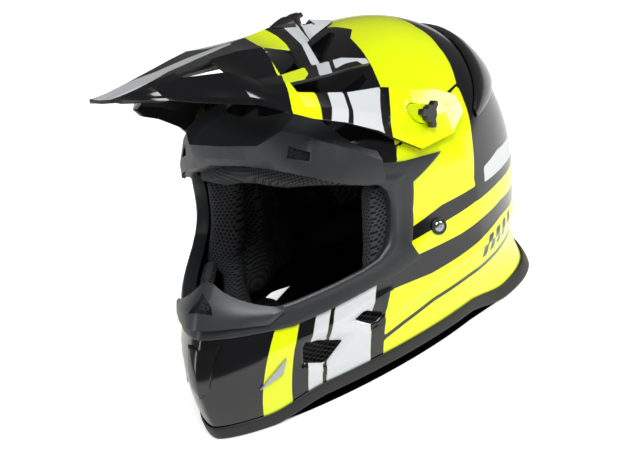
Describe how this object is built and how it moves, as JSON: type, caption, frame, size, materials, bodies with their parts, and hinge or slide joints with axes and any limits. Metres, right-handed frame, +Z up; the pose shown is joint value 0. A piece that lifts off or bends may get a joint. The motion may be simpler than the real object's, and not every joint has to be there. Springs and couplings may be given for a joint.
{
  "type": "motocross helmet",
  "caption": "Full-face off-road helmet with chin bar, open eye port and a tilting sun peak held by two side knobs and a top screw.",
  "frame": {"origin": "middle of the bounding box, on the surface the helmet stands on", "axes": "+Z up, the wearer faces -Y, the wearer's left is +X"},
  "size_m": [0.2544, 0.3837, 0.2852],
  "materials": {
    "shell": "glossy printed yellow, black and white",
    "peak_plastic": "glossy printed yellow, black and white",
    "black_gloss": "glossy black",
    "trim": "satin dark grey",
    "black_plastic": "satin black",
    "mesh": "matt black mesh",
    "rubber": "matt black",
    "foam": "matt black expanded foam",
    "silver": "silver grey",
    "metal": "satin steel",
    "padding": "dark grey mesh cloth",
    "neck_cloth": "black cloth",
    "webbing": "black woven webbing"
  },
  "bodies": {
    "root": {"outer_shell": "shell", "foam_liner": "foam", "chin_bar_foam": "foam", "bottom_edge_trim": "rubber", "eye_port_trim": "trim", "brow_vent": "trim", "brow_mesh": "mesh", "mouth_vent": "trim", "mouth_grille": "mesh", "chin_plate": "black_gloss", "chin_mesh_left": "mesh", "chin_mesh_right": "mesh", "cheek_mesh_left": "mesh", "cheek_mesh_right": "mesh", "chin_insert_left": "silver", "chin_insert_right": "silver", "rear_spoiler": "black_gloss", "rear_mesh_left": "mesh", "rear_mesh_right": "mesh", "peak_nut_left": "metal", "peak_nut_right": "metal", "peak_top_mount": "black_plastic", "forehead_pad": "padding", "crown_pad": "padding", "cheek_base_left": "black_plastic", "cheek_base_right": "black_plastic", "cheek_pad_left": "padding", "cheek_pad_right": "padding", "neck_roll": "neck_cloth", "strap_left": "webbing", "strap_right": "webbing", "strap_d_rings": "metal", "strap_rivet_left": "metal", "strap_rivet_right": "metal"},
    "peak": {"peak": "peak_plastic", "peak_bush_left": "black_plastic", "peak_bush_right": "black_plastic"},
    "left_knob": {"peak_screw_left": "black_plastic"},
    "right_knob": {"peak_screw_right": "black_plastic"},
    "top_screw": {"peak_top_screw": "black_plastic"}
  },
  "joints": [
    {"name": "peak_tilt", "type": "hinge", "parent": "root", "child": "peak", "pos_m": [0, 0.01603, 0.18349], "axis": [1, 0, 0], "range_deg": [0, 9]},
    {"name": "left_knob_turn", "type": "hinge", "parent": "root", "child": "left_knob", "pos_m": [0.1, 0.01603, 0.18349], "axis": [1, 0, 0], "continuous": true},
    {"name": "right_knob_turn", "type": "hinge", "parent": "root", "child": "right_knob", "pos_m": [-0.1, 0.01603, 0.18349], "axis": [1, 0, 0], "continuous": true},
    {"name": "top_screw_turn", "type": "hinge", "parent": "root", "child": "top_screw", "pos_m": [0, 0.03225, 0.25], "axis": [0, 0, 1], "continuous": true}
  ]
}
